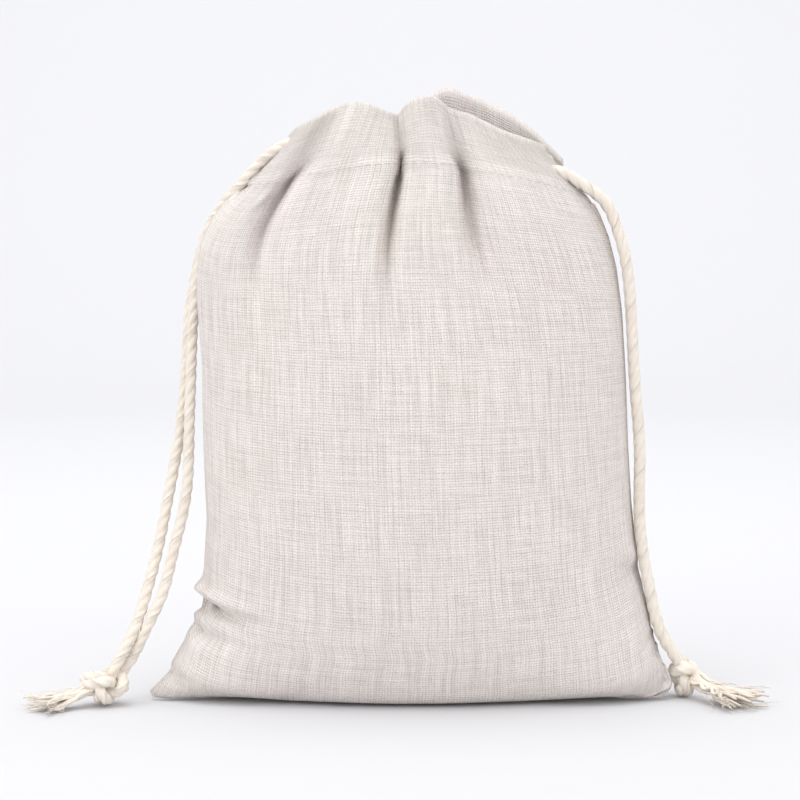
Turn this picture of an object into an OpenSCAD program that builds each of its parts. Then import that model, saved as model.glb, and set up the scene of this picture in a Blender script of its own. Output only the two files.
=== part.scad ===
// Drawstring gift pouch: two cloth panels sewn into a bag, a cord casing along each
// top edge, and two opposed drawcords that leave the casings through the side slits
// and end in a knot and a frayed tassel. Units are millimetres, +Z is up and the
// front faces -Y. The origin is the middle of the base.

/* [Pouch] */
// Width of the pouch along its bottom seam
pouch_w = 155; // [150:1:160]
// Height of the standing pouch, from its base to the top of the casings
pouch_h = 182; // [180:1:186]
// Depth of the filled belly, front to back
belly_d = 62; // [58:1:66]
// Thickness of the cloth wall
cloth_t = 1.2; // [1:0.1:1.6]

/* [Casings] */
// Height of each cord casing
casing_h = 20; // [18:1:22]
// Depth of each gathered casing
casing_d = 8; // [7.5:0.5:9]
// Half of the width that each casing spans between the side slits
casing_half_span = 36; // [34:1:38]
// Radius of the arch that the closed casings make
casing_arch_r = 80; // [76:1:84]
// Distance of each casing's middle from the middle of the mouth
casing_offset = 7.5; // [7.5:0.1:8.5]
// Inward lean of each casing, in degrees
casing_lean = 4; // [0:1:5]

/* [Drawcords] */
// Diameter of the twisted drawcord
cord_d = 3.5; // [3:0.1:3.5]
// Height between the two cords inside a casing
cord_spacing = 6.5; // [5.5:0.5:7]
// Length of each frayed tassel
tassel_l = 24; // [16:1:28]
// Height of each tassel as it lies
tassel_h = 7; // [5:0.5:8]
// Half width of a tassel at its loose end
tassel_half_w = 10; // [6:1:12]

/* [Hidden] */
$fn = 48;

cloth_colour = [0.80, 0.74, 0.71];
casing_colour = [0.86, 0.80, 0.77];
thread_colour = [0.90, 0.86, 0.82];
cord_colour = [0.95, 0.88, 0.80];

// Scale of each direction against the nominal pouch, so that every outline and
// cord route keeps its place when a driving size changes.
kx = pouch_w / 155;
ky = belly_d / 62;
kz = pouch_h / 182;

// Outline of the standing pouch: [height, half width at the side seams]
side_outline = [
    [0, 73], [3, 77.5], [7, 74], [12, 70], [20, 67], [30, 65], [45, 63.5], [60, 63],
    [80, 63], [100, 63], [120, 63], [132, 61.8], [142, 58.5], [151, 50]
];
// Profile of the belly: [height, half depth at the middle]
belly_outline = [
    [0, 16], [3, 20], [7, 23.5], [12, 26], [20, 28.5], [30, 30], [45, 31], [60, 31],
    [80, 30.5], [100, 29.5], [120, 27.5], [132, 24.5], [142, 20], [151, 13]
];
// Heights of the cross-sections that the panels are lofted through
section_heights = [0, 3, 7, 12, 20, 30, 45, 60, 80, 100, 120, 132, 142, 151];
// Share of the base depth at which the flat base has a section: 0 is the bottom seam
base_shares = [0, 0.5];
// Number of steps across one panel, from the left seam to the right seam
panel_steps = 24;
// Rise of the panel's top edge at the middle, under the arched casing
top_rise = 10;
// Height above which the panel's sections start to arch
arch_start = 120;
last_section_z = section_heights[len(section_heights) - 1];

// The arch of the casings has its centre this high
arch_centre_z = pouch_h - casing_arch_r - casing_h / 2;
upper_cord_r = casing_arch_r + cord_spacing / 2 - 0.25;
lower_cord_r = casing_arch_r - cord_spacing / 2 - 0.25;
// Half of the angle that the arch is swept through before its ends are cut upright
arch_half_angle = 38;
// Clearance between pieces that move against each other
clearance = 0.3;

// Routes of the free strands, from the slit to the knot. Point number 3 of each one
// lies on the axis that the hanging length swings about.
swing_point = 3;
left_front_route = [
    [-38.2, -6.4, 165.6], [-44, -3.5, 161.5], [-51, 0, 154], [-57, 4, 147.5],
    [-61.5, 7, 139], [-64, 7, 128], [-65.5, 5, 115], [-66, 2, 100], [-66.5, -1, 80],
    [-67.5, -3, 61], [-71.5, -6, 43], [-74, -8.5, 33], [-79, -11, 22], [-85.2, -12, 10.6]
];
left_back_route = [
    [-38.2, 6.7, 165.6], [-44, 5.5, 161.5], [-51, 6.5, 154], [-57, 8.5, 147.5],
    [-62, 11, 139], [-65, 11.5, 128], [-67, 9.5, 115], [-67.8, 6.5, 100], [-69.7, 3.5, 80],
    [-73, 0.5, 61], [-76.5, -3.5, 43], [-79, -7, 33], [-82.5, -11.5, 22], [-87.5, -14.8, 11.9]
];
right_front_route = [
    [38.2, -6.7, 159.3], [44, -5.5, 158.5], [51.5, -4.5, 154.5], [58, -4, 149.5],
    [61.5, -4, 142], [63.8, -4, 134], [65.5, -4, 122], [66.5, -4, 107], [67.5, -4, 92],
    [68.8, -4, 76], [68.8, -4.5, 58], [70, -5, 44], [72.5, -5.5, 31], [76, -5.5, 19], [80.4, -4.6, 12]
];
right_back_route = [
    [38.2, 5.6, 159.3], [44, 3, 158.5], [51.5, 0.5, 154.5], [58, 0, 149.5],
    [61.8, 0, 142], [64.3, 0, 134], [66, 0, 122], [67, 0, 107], [68, 0, 92],
    [69.3, 0, 76], [69.3, -0.5, 58], [70.5, -1, 44], [73, -1.5, 31], [76.5, -1.5, 19], [80.8, -1, 12.2]
];

left_knot_at = [-91, -15, 6];
right_knot_at = [83, -3, 6.5];
left_knot_lobe_r = 5.6;
right_knot_lobe_r = 4.4;
knot_lobe_offset = 1.8;
// Compass headings of the knot and the tassels on the table, in degrees from +X
left_heading = 207;
right_heading = -50;
// Distance from a knot's middle to the root of its tassel
left_tassel_root = 7.9;
right_tassel_root = 5.2;

// --- Panels ---

// Height gained by a section at x, so that the upper sections arch under the casings
function arch_lift(x, z) = let (
    share = max(0, (z - arch_start) / (last_section_z - arch_start)),
    half = casing_half_span
) top_rise * share * share * max(0, 1 - x * x / (half * half));

// A point of one cross-section: turn runs from 0 at the left seam to 1 at the right.
// The sections near the base are pointed at the seams, the higher ones are oval.
function section_point(turn, z, depth_share, inset) = let (
    a = lookup(z, side_outline) - inset,
    b = (lookup(z, belly_outline) - inset) * depth_share,
    point_power = 1 + 0.6 * max(0, 1 - z / 40),
    x = -a * cos(180 * turn),
    y = -b * pow(sin(180 * turn), point_power)
) [x * kx, y * ky, (z + arch_lift(x, z)) * kz];

// All sections of one face of the panel; inset is 0 outside and cloth_t inside
function face_points(inset) = concat(
    [for (share = base_shares) for (i = [0 : panel_steps])
        section_point(i / panel_steps, 0, share, inset) + [0, 0, inset]],
    [for (z = section_heights) for (i = [0 : panel_steps])
        section_point(i / panel_steps, z, 1, inset) + [0, 0, inset * max(0, 1 - z / 12)]]
);

module panel_shell() {
    rows = len(base_shares) + len(section_heights);
    row_size = panel_steps + 1;
    inner_start = rows * row_size;
    outer_faces = [for (r = [0 : rows - 2]) for (i = [0 : panel_steps - 1]) let (p = r * row_size + i)
        each [[p, p + row_size, p + 1], [p + 1, p + row_size, p + row_size + 1]]];
    inner_faces = [for (f = outer_faces) [f[0] + inner_start, f[2] + inner_start, f[1] + inner_start]];
    // The outline of a face, once around: bottom seam, right seam, top edge, left seam
    rim = concat(
        [for (i = [0 : panel_steps - 1]) i],
        [for (r = [0 : rows - 2]) r * row_size + panel_steps],
        [for (i = [panel_steps : -1 : 1]) (rows - 1) * row_size + i],
        [for (r = [rows - 1 : -1 : 1]) r * row_size]
    );
    rim_faces = [for (i = [0 : len(rim) - 1]) let (p = rim[i], q = rim[(i + 1) % len(rim)])
        each [[p, q, q + inner_start], [p, q + inner_start, p + inner_start]]];
    polyhedron(
        points = concat(face_points(0), face_points(cloth_t)),
        faces = concat(outer_faces, inner_faces, rim_faces)
    );
}

module front_panel() {
    color(cloth_colour) panel_shell();
}

module back_panel() {
    color(cloth_colour) mirror([0, 1, 0]) panel_shell();
}

// --- Seams, inside the pouch ---

// A flat strip that follows the side seam, from one inset to another and this thick
module side_strip(from_inset, to_inset, thickness, low_z, high_z) {
    heights = [for (z = section_heights) if (z >= low_z && z <= high_z) z];
    near_edge = [for (z = heights) [-(lookup(z, side_outline) - from_inset) * kx, z * kz]];
    far_edge = [for (i = [len(heights) - 1 : -1 : 0])
        [-(lookup(heights[i], side_outline) - to_inset) * kx, heights[i] * kz]];
    rotate([90, 0, 0])
        linear_extrude(height = thickness, center = true)
            polygon(concat(near_edge, far_edge));
}

// Insets of the side seam's pieces from the outline
seam_thread_from = 2.8;
seam_thread_to = 3.4;
overlock_to = 8;
seam_low_z = 12;
seam_high_z = 142;
// Thickness of the doubled cloth with its thread on both faces
overlock_t = 2.8;
seam_thread_t = 3.2;

module left_seam_thread() {
    color(thread_colour)
        side_strip(seam_thread_from, seam_thread_to, seam_thread_t, seam_low_z, seam_high_z);
}

module right_seam_thread() {
    mirror([1, 0, 0]) left_seam_thread();
}

module left_overlock() {
    color(thread_colour)
        side_strip(seam_thread_to, overlock_to, overlock_t, seam_low_z, seam_high_z);
}

module right_overlock() {
    mirror([1, 0, 0]) left_overlock();
}

// The bottom seam's pieces stand up from the inside of the base
bottom_seam_half_w = 60;
bottom_thread_h = 0.6;
bottom_overlock_h = 4.9;

module bottom_seam_thread() {
    color(thread_colour)
        translate([-bottom_seam_half_w * kx, -seam_thread_t / 2, cloth_t])
            cube([2 * bottom_seam_half_w * kx, seam_thread_t, bottom_thread_h]);
}

module bottom_overlock() {
    color(thread_colour)
        translate([-bottom_seam_half_w * kx, -overlock_t / 2, cloth_t + bottom_thread_h])
            cube([2 * bottom_seam_half_w * kx, overlock_t, bottom_overlock_h]);
}

// The bartack crosses the side seam just where the slit for the cords begins
bartack_w = 5;
bartack_d = 3.4;
bartack_h = 1.2;
bartack_x = -53;

module left_slit_bartack() {
    color(thread_colour)
        translate([bartack_x * kx, 0, (seam_high_z + 0.8) * kz])
            cube([bartack_w, bartack_d, bartack_h], center = true);
}

module right_slit_bartack() {
    mirror([1, 0, 0]) left_slit_bartack();
}

// --- Casings and the cords inside them ---

// Sweeps a profile along the casing's arch and puts it on the front side. The
// profile's x is the distance from the arch's centre and its y points backwards.
module along_front_casing() {
    pivot_z = arch_centre_z + casing_arch_r;
    translate([0, -casing_offset * ky, pivot_z])
        rotate([-casing_lean, 0, 0])
            translate([0, 0, -casing_arch_r])
                intersection() {
                    rotate([90, 0, 0])
                        rotate([0, 0, 90 - arch_half_angle])
                            rotate_extrude(angle = 2 * arch_half_angle, $fn = 180)
                                children();
                    translate([-casing_half_span, -casing_d, 0])
                        cube([2 * casing_half_span, 2 * casing_d, 2 * casing_arch_r]);
                }
}

// A flat oval of the given radial length and depth, centred at a radius
module oval_profile(radius, length, depth) {
    translate([radius, 0]) {
        square([length - depth, depth], center = true);
        translate([(depth - length) / 2, 0]) circle(d = depth);
        translate([(length - depth) / 2, 0]) circle(d = depth);
    }
}

module front_casing() {
    color(casing_colour)
        along_front_casing()
            difference() {
                oval_profile(casing_arch_r, casing_h, casing_d);
                oval_profile(casing_arch_r, casing_h - 2 * cloth_t, casing_d - 2 * cloth_t);
            }
}

module back_casing() {
    mirror([0, 1, 0]) front_casing();
}

// The line of stitches sits on the outer face, just above the casing's lower fold
stitch_d = 0.6;
stitch_height = 4.5;

module front_casing_stitch() {
    color(thread_colour)
        along_front_casing()
            translate([casing_arch_r - casing_h / 2 + stitch_height, (casing_d + stitch_d) / 2])
                circle(d = stitch_d);
}

module back_casing_stitch() {
    mirror([0, 1, 0]) front_casing_stitch();
}

module casing_run(radius) {
    color(cord_colour)
        along_front_casing()
            translate([radius, 0])
                circle(d = cord_d);
}

module left_cord_front_run() {
    casing_run(upper_cord_r);
}

module left_cord_back_run() {
    mirror([0, 1, 0]) casing_run(upper_cord_r);
}

module right_cord_front_run() {
    casing_run(lower_cord_r);
}

module right_cord_back_run() {
    mirror([0, 1, 0]) casing_run(lower_cord_r);
}

// The cord's U bend across a slit, from the front casing to the back casing
return_bend_r = 3;
// The straight middle runs this far into its two bends, so that they are one piece
bend_overlap = 0.1;

module cord_return(radius) {
    rise = sqrt(radius * radius - casing_half_span * casing_half_span);
    half_w = casing_offset * ky - return_bend_r - (rise - casing_arch_r) * sin(casing_lean);
    color(cord_colour)
        translate([casing_half_span + clearance, 0, arch_centre_z + rise]) {
            translate([return_bend_r, 0, 0])
                rotate([90, 0, 0])
                    cylinder(d = cord_d, h = 2 * half_w + bend_overlap, center = true);
            for (side = [-1, 1])
                translate([0, side * half_w, 0])
                    rotate([0, 0, side > 0 ? 0 : -90])
                        rotate_extrude(angle = 90)
                            translate([return_bend_r, 0])
                                circle(d = cord_d);
        }
}

module left_cord_return() {
    cord_return(upper_cord_r);
}

module right_cord_return() {
    mirror([1, 0, 0]) cord_return(lower_cord_r);
}

// --- Free strands ---

cord_sides = 8;
// Gap left on each side of the swing axis, so that the two lengths never touch
swing_gap = 1.5;

function place(p) = [p.x * kx, p.y * ky, p.z * kz];
function unit(v) = v / norm(v);
// Direction of a route at point i, from its neighbours
function heading_at(p, i) = unit(p[min(i + 1, len(p) - 1)] - p[max(i - 1, 0)]);
// A ring of points around point i of a route
function ring_at(p, i, r) = let (
    along = heading_at(p, i),
    side = unit(cross(along, [0, 1, 0])),
    up = cross(side, along)
) [for (k = [0 : cord_sides - 1]) let (turn = 360 * k / cord_sides)
    p[i] + r * (cos(turn) * side + sin(turn) * up)];

// The tube of one cord length along the points p
module cord_tube(p) {
    n = cord_sides;
    rings = [for (i = [0 : len(p) - 1]) each ring_at(p, i, cord_d / 2)];
    walls = [for (i = [0 : len(p) - 2]) for (k = [0 : n - 1]) let (a = i * n + k, b = i * n + (k + 1) % n)
        each [[a, b, a + n], [b, b + n, a + n]]];
    start_cap = [for (k = [1 : n - 2]) [0, k + 1, k]];
    last = (len(p) - 1) * n;
    end_cap = [for (k = [1 : n - 2]) [last, last + k, last + k + 1]];
    color(cord_colour)
        polyhedron(points = rings, faces = concat(walls, start_cap, end_cap));
}

// The length from the slit down to the swing axis, and the length that hangs from it
module top_length(route) {
    p = [for (i = [0 : swing_point]) place(route[i])];
    last = p[swing_point] - swing_gap * unit(p[swing_point] - p[swing_point - 1]);
    cord_tube([for (i = [0 : swing_point]) i == swing_point ? last : p[i]]);
}

module hanging_length(route) {
    p = [for (i = [swing_point : len(route) - 1]) place(route[i])];
    first = p[0] + swing_gap * unit(p[1] - p[0]);
    cord_tube([for (i = [0 : len(p) - 1]) i == 0 ? first : p[i]]);
}

module left_cord_front_top() { top_length(left_front_route); }
module left_cord_back_top() { top_length(left_back_route); }
module left_cord_front_drop() { hanging_length(left_front_route); }
module left_cord_back_drop() { hanging_length(left_back_route); }
module right_cord_front_top() { top_length(right_front_route); }
module right_cord_back_top() { top_length(right_back_route); }
module right_cord_front_drop() { hanging_length(right_front_route); }
module right_cord_back_drop() { hanging_length(right_back_route); }

// --- Knots and tassels ---

module left_knot() {
    color(cord_colour)
        translate(place(left_knot_at))
            rotate([0, 0, left_heading])
                for (side = [-1, 1])
                    translate([side * knot_lobe_offset, 0, 0])
                        sphere(r = left_knot_lobe_r);
}

module right_knot() {
    color(cord_colour)
        translate(place(right_knot_at))
            for (side = [-1, 1])
                translate([0, 0, side * knot_lobe_offset])
                    sphere(r = right_knot_lobe_r);
}

// A fan of loose yarns that lies on the table beside its knot
tassel_root_half_w = 3;
tassel_lift = 0.1;
fan_steps = 8;

module tassel(knot_at, heading, root) {
    fan_end = [for (i = [-fan_steps : fan_steps]) let (s = i / fan_steps)
        [root + tassel_l - 5 * s * s, s * tassel_half_w]];
    color(cord_colour)
        translate([knot_at.x * kx, knot_at.y * ky, tassel_lift])
            rotate([0, 0, heading])
                linear_extrude(height = tassel_h)
                    polygon(concat([[root, tassel_root_half_w], [root, -tassel_root_half_w]], fan_end));
}

module left_tassel() {
    tassel(left_knot_at, left_heading, left_tassel_root);
}

module right_tassel() {
    tassel(right_knot_at, right_heading, right_tassel_root);
}

front_panel();
back_panel();
left_seam_thread();
right_seam_thread();
bottom_seam_thread();
left_overlock();
right_overlock();
bottom_overlock();
left_slit_bartack();
right_slit_bartack();
front_casing();
back_casing();
front_casing_stitch();
back_casing_stitch();
left_cord_front_run();
left_cord_back_run();
left_cord_return();
right_cord_front_run();
right_cord_back_run();
right_cord_return();
left_cord_front_top();
left_cord_back_top();
left_cord_front_drop();
left_cord_back_drop();
right_cord_front_top();
right_cord_back_top();
right_cord_front_drop();
right_cord_back_drop();
left_knot();
right_knot();
left_tassel();
right_tassel();
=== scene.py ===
"""Drawstring gift pouch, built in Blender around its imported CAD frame. Metres, +Z up, front towards -Y."""
import math

import bpy
import numpy as np
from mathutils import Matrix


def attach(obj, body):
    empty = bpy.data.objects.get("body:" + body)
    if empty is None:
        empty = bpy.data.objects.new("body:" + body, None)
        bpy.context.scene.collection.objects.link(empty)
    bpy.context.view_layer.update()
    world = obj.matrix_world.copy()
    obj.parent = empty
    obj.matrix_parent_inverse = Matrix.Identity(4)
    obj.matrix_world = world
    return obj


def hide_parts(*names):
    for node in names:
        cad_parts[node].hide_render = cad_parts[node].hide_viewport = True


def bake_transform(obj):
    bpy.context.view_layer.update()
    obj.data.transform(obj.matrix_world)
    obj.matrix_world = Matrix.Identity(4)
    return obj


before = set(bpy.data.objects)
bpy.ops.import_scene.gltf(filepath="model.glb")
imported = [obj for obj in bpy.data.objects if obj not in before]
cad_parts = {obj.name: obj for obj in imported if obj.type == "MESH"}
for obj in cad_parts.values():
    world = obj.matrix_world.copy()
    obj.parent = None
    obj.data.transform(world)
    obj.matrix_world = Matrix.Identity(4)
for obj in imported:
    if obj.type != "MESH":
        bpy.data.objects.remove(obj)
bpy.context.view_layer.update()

# ---------------------------------------------------------------------------
# The table and the light. A pale paper sweep curves up behind the pouch, under
# a broad overhead light, a backdrop light and two weaker side lights. The
# camera stands at the pouch's own height.
# ---------------------------------------------------------------------------

scene = bpy.context.scene
scene.view_settings.view_transform = "Standard"
scene.view_settings.look = "None"

camera = bpy.data.objects.new("camera", bpy.data.cameras.new("camera"))
camera.data.lens = 105.0
camera.data.sensor_width = 36.0
camera.location = (-0.003, -0.700, 0.150)
camera.rotation_euler = (math.radians(90.0 - 4.9), 0.0, 0.0)
scene.collection.objects.link(camera)
scene.camera = camera


def mesh_object(name, points, faces):
    """A smooth-shaded mesh object at the origin from points and an array or list of faces."""
    mesh = bpy.data.meshes.new(name)
    face_list = faces if isinstance(faces, list) else faces.tolist()
    mesh.from_pydata(np.asarray(points, float).tolist(), [], face_list)
    mesh.polygons.foreach_set("use_smooth", [True] * len(mesh.polygons))
    mesh.update()
    obj = bpy.data.objects.new(name, mesh)
    scene.collection.objects.link(obj)
    return obj


def grid_faces(rows, columns, wrap=False):
    """Quads between neighbouring rows and columns of a grid; wrap joins the last column to the first."""
    steps = columns if wrap else columns - 1
    r, c = np.meshgrid(np.arange(rows - 1), np.arange(steps), indexing="ij")
    here, beside = r * columns + c, r * columns + (c + 1) % columns
    return np.stack([here, beside, beside + columns, here + columns], -1).reshape(-1, 4)


def table_sweep():
    """A flat sheet that curves up behind the pouch: a line, a quarter circle, then a line."""
    bend = np.linspace(0.0, np.pi / 2, 24)
    radius = 0.8
    y = np.concatenate([[-2.5, 1.0], 1.0 + radius * np.sin(bend), [1.0 + radius]])
    z = np.concatenate([[0.0, 0.0], radius * (1 - np.cos(bend)), [3.0]])
    points = np.stack(np.broadcast_arrays(np.array([-3.0, 3.0]), y[:, None], z[:, None]), -1)
    return points.reshape(-1, 3), grid_faces(len(y), 2)


table = mesh_object("table", *table_sweep())
paper = bpy.data.materials.new("white_paper")
paper.use_nodes = True
paper_inputs = paper.node_tree.nodes["Principled BSDF"].inputs
paper_inputs["Base Color"].default_value = (0.67, 0.67, 0.687, 1.0)
paper_inputs["Roughness"].default_value = 0.9
paper_inputs["Specular IOR Level"].default_value = 0.1
table.data.materials.append(paper)

world = bpy.data.worlds.new("studio")
world.use_nodes = True
sky_inputs = world.node_tree.nodes["Background"].inputs
sky_inputs["Color"].default_value = (0.985, 0.99, 1.0, 1.0)
sky_inputs["Strength"].default_value = 1.16
scene.world = world


def soft_light(name, place, target, size, power, colour):
    """A square area light at a place, turned to face a target."""
    light = bpy.data.lights.new(name, "AREA")
    light.size = size
    light.energy = power
    light.color = colour
    obj = bpy.data.objects.new(name, light)
    obj.location = place
    towards = np.array(target) - np.array(place)
    flat = math.hypot(towards[0], towards[1])
    obj.rotation_euler = (math.atan2(flat, -towards[2]), 0.0, math.atan2(towards[0], -towards[1]) + math.pi)
    scene.collection.objects.link(obj)


soft_light("overhead", (-0.12, -0.14, 1.1), (0.0, 0.0, 0.10), 0.7, 3.1, (1.0, 0.99, 0.97))
soft_light("left_window", (-0.9, -0.7, 0.5), (0.0, 0.0, 0.09), 0.6, 1.7, (1.0, 1.0, 1.0))
soft_light("backdrop", (0.0, 0.5, 1.4), (0.0, 1.8, 0.35), 1.2, 7.0, (1.0, 1.0, 1.0))
soft_light("right_fill", (0.8, -0.8, 0.45), (0.0, 0.0, 0.09), 0.7, 0.8, (1.0, 1.0, 1.0))

# ---------------------------------------------------------------------------
# The cotton and linen finishes. Fibres scatter light softly and have no gloss,
# so each finish is a rough shader with a little sheen, coloured and embossed by
# patterns on the piece's own cut coordinates.
# ---------------------------------------------------------------------------


class Nodes:
    """A new node material with short calls for the nodes that the finishes share."""

    def __init__(self, name):
        self.material = bpy.data.materials.new(name)
        self.material.use_nodes = True
        self.tree = self.material.node_tree
        self.shader = self.tree.nodes["Principled BSDF"]

    def put(self, value, socket):
        """Link a socket or set a plain value."""
        if hasattr(value, "links"):
            self.tree.links.new(value, socket)
        else:
            socket.default_value = value

    def math(self, operation, a, b=0.0):
        """One arithmetic step."""
        node = self.tree.nodes.new("ShaderNodeMath")
        node.operation = operation
        self.put(a, node.inputs[0])
        self.put(b, node.inputs[1])
        return node.outputs[0]

    def uv(self):
        """The piece's own UV map, split into its two directions, in metres."""
        source = self.tree.nodes.new("ShaderNodeUVMap")
        source.uv_map = "Cut"
        split = self.tree.nodes.new("ShaderNodeSeparateXYZ")
        self.tree.links.new(source.outputs[0], split.inputs[0])
        return split.outputs[0], split.outputs[1]

    def noise(self, vector, scale, detail=2.0, roughness=0.5):
        """Fractal noise of a vector."""
        node = self.tree.nodes.new("ShaderNodeTexNoise")
        self.put(vector, node.inputs["Vector"])
        node.inputs["Scale"].default_value = scale
        node.inputs["Detail"].default_value = detail
        node.inputs["Roughness"].default_value = roughness
        return node.outputs["Fac"]

    def vector(self, x, y, z=0.0):
        """A vector of three numbers or sockets."""
        node = self.tree.nodes.new("ShaderNodeCombineXYZ")
        self.put(x, node.inputs[0])
        self.put(y, node.inputs[1])
        self.put(z, node.inputs[2])
        return node.outputs[0]

    def object_point(self):
        """The point in the object's own metres."""
        return self.tree.nodes.new("ShaderNodeTexCoord").outputs["Object"]

    def ramp(self, factor, stops):
        """Colours blended along a factor: stops are (position, colour)."""
        node = self.tree.nodes.new("ShaderNodeValToRGB")
        self.put(factor, node.inputs[0])
        elements = node.color_ramp.elements
        elements[0].position, elements[0].color = stops[0][0], (*stops[0][1], 1.0)
        elements[1].position, elements[1].color = stops[-1][0], (*stops[-1][1], 1.0)
        for position, colour in stops[1:-1]:
            elements.new(position).color = (*colour, 1.0)
        return node.outputs[0]

    def mix(self, factor, a, b, blend="MIX"):
        """Two colours mixed."""
        node = self.tree.nodes.new("ShaderNodeMix")
        node.data_type = "RGBA"
        node.blend_type = blend
        self.put(factor, node.inputs[0])
        self.put(a, node.inputs[6])
        self.put(b, node.inputs[7])
        return node.outputs[2]

    def bump(self, height, distance, strength=1.0):
        """A height in 0 to 1 made into the shader's normal."""
        node = self.tree.nodes.new("ShaderNodeBump")
        node.inputs["Strength"].default_value = strength
        node.inputs["Distance"].default_value = distance
        self.put(height, node.inputs["Height"])
        self.tree.links.new(node.outputs[0], self.shader.inputs["Normal"])

    def finish(self, colour, roughness, sheen):
        """Set the shader's colour, roughness and cloth sheen."""
        self.put(colour, self.shader.inputs["Base Color"])
        self.put(roughness, self.shader.inputs["Roughness"])
        self.shader.inputs["Specular IOR Level"].default_value = 0.15
        self.shader.inputs["Sheen Weight"].default_value = sheen
        self.shader.inputs["Sheen Roughness"].default_value = 0.6
        self.shader.inputs["Sheen Tint"].default_value = (1.0, 0.97, 0.94, 1.0)
        return self.material


def set_uv(obj, uv_points):
    """Write one UV pair per vertex, in metres, to every corner that uses the vertex."""
    layer = obj.data.uv_layers.new(name="Cut")
    corner = np.empty(len(obj.data.loops), int)
    obj.data.loops.foreach_get("vertex_index", corner)
    layer.data.foreach_set("uv", np.asarray(uv_points, float)[corner].ravel())


# ---------------------------------------------------------------------------
# The drawcords' free strands. Each is a soft cotton cord of three plies twisted
# together. Both strands of a cord leave the slit at one side and lie over the
# shoulder, hang down the side and meet in a knot on the table.
# ---------------------------------------------------------------------------

cord_diameter = 0.0035
cord_lay = 0.0125
cord_ring_step = 0.0006
cord_ring_points = 26


def cord_material():
    """Cream cotton: fine yarns slant across each ply, with painted shade in the grooves between yarns and
    random fuzz flecks; the grooves between plies are darker in the real shade of the cord's shape.
    """
    n = Nodes("twisted_cotton")
    along, around = n.uv()
    slant = n.math("ADD", n.math("MULTIPLY", around, 11000.0), n.math("MULTIPLY", along, 7500.0))
    yarn = n.math("SINE", slant)
    fuzz = n.noise(n.object_point(), 1900.0, 3.0, 0.7)
    tone = n.noise(n.object_point(), 120.0, 2.0)
    shade = n.ramp(tone, [(0.3, (0.90, 0.80, 0.69)), (0.7, (0.95, 0.87, 0.77))])
    fine = n.math("ADD", n.math("MULTIPLY", yarn, 0.28), n.math("MULTIPLY", fuzz, 0.9))
    # Partly painted shade: lighter on the raised yarns and darker between them; partly random fuzz flecks
    colour = n.mix(n.math("MULTIPLY", fine, 0.30), shade, (0.985, 0.93, 0.85, 1.0))
    n.bump(fine, 0.00022, 0.8)
    return n.finish(colour, 0.85, 0.35)


cotton = cord_material()


def unit(v):
    """Vectors divided by their lengths."""
    return v / np.maximum(np.linalg.norm(v, axis=-1, keepdims=True), 1e-12)


def arc_length(points):
    """The distance along a line of points, from the first point to each one."""
    return np.concatenate([[0.0], np.cumsum(np.linalg.norm(np.diff(points, axis=0), axis=1))])


def read_line(places, run, points):
    """Points read off a line at distances along it."""
    return np.stack([np.interp(places, run, points[:, k]) for k in range(3)], -1)


def smooth_curve(points, step):
    """A natural cubic spline through the points by chord length, resampled every step."""
    p = np.asarray(points, float)
    knots = arc_length(p)
    h = np.diff(knots)
    n = len(p)
    system = np.eye(n)
    right = np.zeros_like(p)
    inner = np.arange(1, n - 1)
    system[inner, inner - 1] = h[:-1]
    system[inner, inner] = 2 * (h[:-1] + h[1:])
    system[inner, inner + 1] = h[1:]
    slope = np.diff(p, axis=0) / h[:, None]
    right[1:-1] = 6 * np.diff(slope, axis=0)
    curve = np.linalg.solve(system, right)

    def at(s):
        i = np.clip(np.searchsorted(knots, s, side="right") - 1, 0, n - 2)
        u, v, w = (knots[i + 1] - s)[:, None], (s - knots[i])[:, None], h[i][:, None]
        bend = (curve[i] * u**3 + curve[i + 1] * v**3) / (6 * w)
        return bend + (p[i] / w - curve[i] * w / 6) * u + (p[i + 1] / w - curve[i + 1] * w / 6) * v

    fine = at(np.linspace(0.0, knots[-1], 4000))
    length = arc_length(fine)
    wanted = np.linspace(0.0, length[-1], max(4, int(round(length[-1] / step)) + 1))
    return read_line(wanted, length, fine), wanted


ply_groove = 0.26


def rope_surface(path, run, radius, lay, ring, reference, plies=3):
    """Rings round a path: radius (1 - groove + groove |cos(plies angle / 2)|^0.8), turned once per lay."""
    tangent = unit(np.gradient(path, axis=0))
    side = unit(np.cross(tangent, reference))
    up = np.cross(side, tangent)
    angle = np.linspace(0.0, 2 * np.pi, ring, endpoint=False)[None, :]
    turn = angle - 2 * np.pi * run[:, None] / lay
    dip = np.abs(np.cos(plies / 2 * angle)) ** 0.8
    end = np.minimum(1.0, np.minimum(run, run[-1] - run) / radius + 0.35)[:, None]
    reach = radius * (1 - ply_groove + ply_groove * dip) * np.sqrt(end)
    outward = np.cos(turn)[..., None] * side[:, None] + np.sin(turn)[..., None] * up[:, None]
    uv = np.stack(np.broadcast_arrays(run[:, None], angle * radius), -1)
    return path[:, None] + reach[..., None] * outward, uv


def capped_tube(name, points, uv, material):
    """A closed tube from rings of points, each end closed by a fan round its middle."""
    rows, ring = points.shape[:2]
    middles = np.stack([points[0].mean(0), points[-1].mean(0)])
    quads = grid_faces(rows, ring, wrap=True)[:, ::-1]
    k = np.arange(ring)
    n = (k + 1) % ring
    start = np.stack([np.full(ring, rows * ring), k, n], -1)
    last = (rows - 1) * ring
    end = np.stack([np.full(ring, rows * ring + 1), last + n, last + k], -1)
    faces = quads.tolist() + start.tolist() + end.tolist()
    obj = mesh_object(name, np.concatenate([points.reshape(-1, 3), middles]), faces)
    set_uv(obj, np.concatenate([uv.reshape(-1, 2), uv[0, :1], uv[-1, :1]]))
    obj.data.materials.append(material)
    obj.data.validate()
    return obj


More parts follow.
